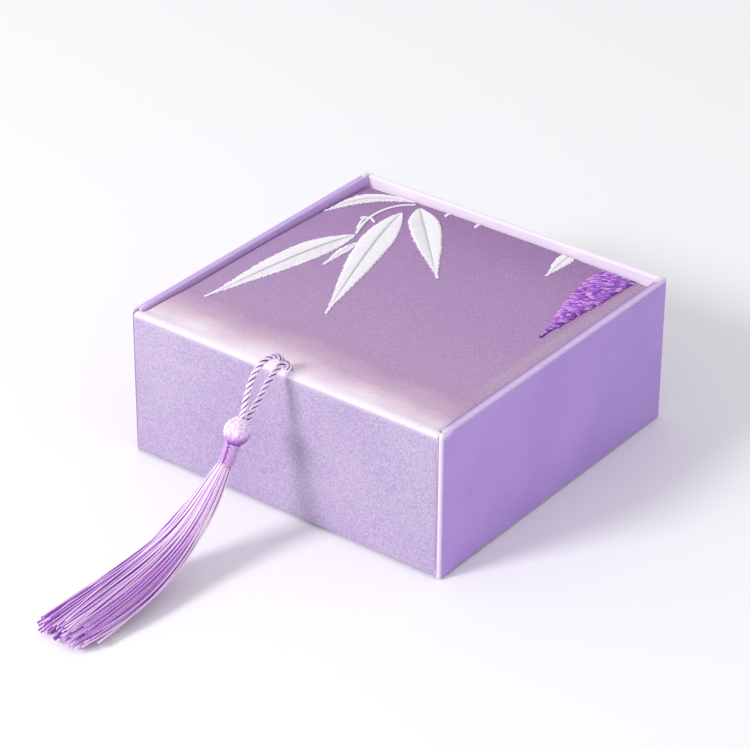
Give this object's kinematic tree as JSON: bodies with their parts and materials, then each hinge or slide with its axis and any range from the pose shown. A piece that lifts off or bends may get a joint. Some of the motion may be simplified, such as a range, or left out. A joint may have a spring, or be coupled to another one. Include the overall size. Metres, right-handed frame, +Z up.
{
  "type": "brocade keepsake box",
  "caption": "Square cloth-covered keepsake box, closed, with a padded lid hinged at the back, a magnetic front flap, embroidered leaves, a ring-groove cushion and a looped tassel.",
  "frame": {"origin": "on the table under the middle of the closed box, tassel left out", "axes": "+Z up, the front with the tassel faces -Y, +X to the right of the front"},
  "size_m": [0.1, 0.1759, 0.0484],
  "materials": {
    "grey_board": "matt grey paperboard",
    "case_brocade": "lilac satin brocade with a fine woven rib",
    "lid_brocade": "mauve satin brocade with a fine woven rib",
    "flap_brocade": "lilac satin brocade with a fine woven rib",
    "white_thread": "glossy white embroidery floss",
    "purple_thread": "glossy purple embroidery floss",
    "tassel_thread": "smooth lilac rayon thread",
    "cord_thread": "smooth twisted rayon cord",
    "cream_satin": "cream satin",
    "lining_cloth": "plain cream lining cloth",
    "foam": "soft white foam",
    "magnet": "nickel-plated disc magnet",
    "bottom_paper": "matt mauve paper on thin card"
  },
  "bodies": {
    "case": {"bottom_sheet": "bottom_paper", "base_board": "grey_board", "left_wall": "grey_board", "right_wall": "grey_board", "back_wall": "grey_board", "case_wrap": "case_brocade", "tray_floor": "grey_board", "tray_front_wall": "grey_board", "tray_back_wall": "grey_board", "tray_left_wall": "grey_board", "tray_right_wall": "grey_board", "tray_lining": "lining_cloth", "tray_magnets": "magnet", "insert_foam": "foam", "insert_satin": "cream_satin", "hinge_cloth": "lining_cloth"},
    "lid": {"lid_board": "grey_board", "lid_foam": "foam", "lid_brocade": "lid_brocade", "lid_lining": "lining_cloth", "white_leaves": "white_thread", "purple_leaf": "purple_thread", "front_roll": "lid_brocade"},
    "front_flap": {"flap_wrap": "flap_brocade", "flap_board": "grey_board", "flap_lining": "lining_cloth", "flap_magnets": "magnet"},
    "tassel": {"tassel_cord": "cord_thread", "tassel_head": "tassel_thread", "tassel_collar": "tassel_thread", "tassel_skirt": "tassel_thread"}
  },
  "joints": [
    {"name": "lid_hinge", "type": "hinge", "parent": "case", "child": "lid", "pos_m": [0, 0.0471, 0.0398], "axis": [-1, 0, 0], "range_deg": [0, 95]},
    {"name": "flap_hinge", "type": "hinge", "parent": "lid", "child": "front_flap", "pos_m": [0, -0.0499, 0.04075], "axis": [-1, 0, 0], "range_deg": [0, 40]},
    {"name": "tassel_swing", "type": "hinge", "parent": "lid", "child": "tassel", "pos_m": [0, -0.0475, 0.042], "axis": [-1, 0, 0], "range_deg": [0, 90]}
  ]
}
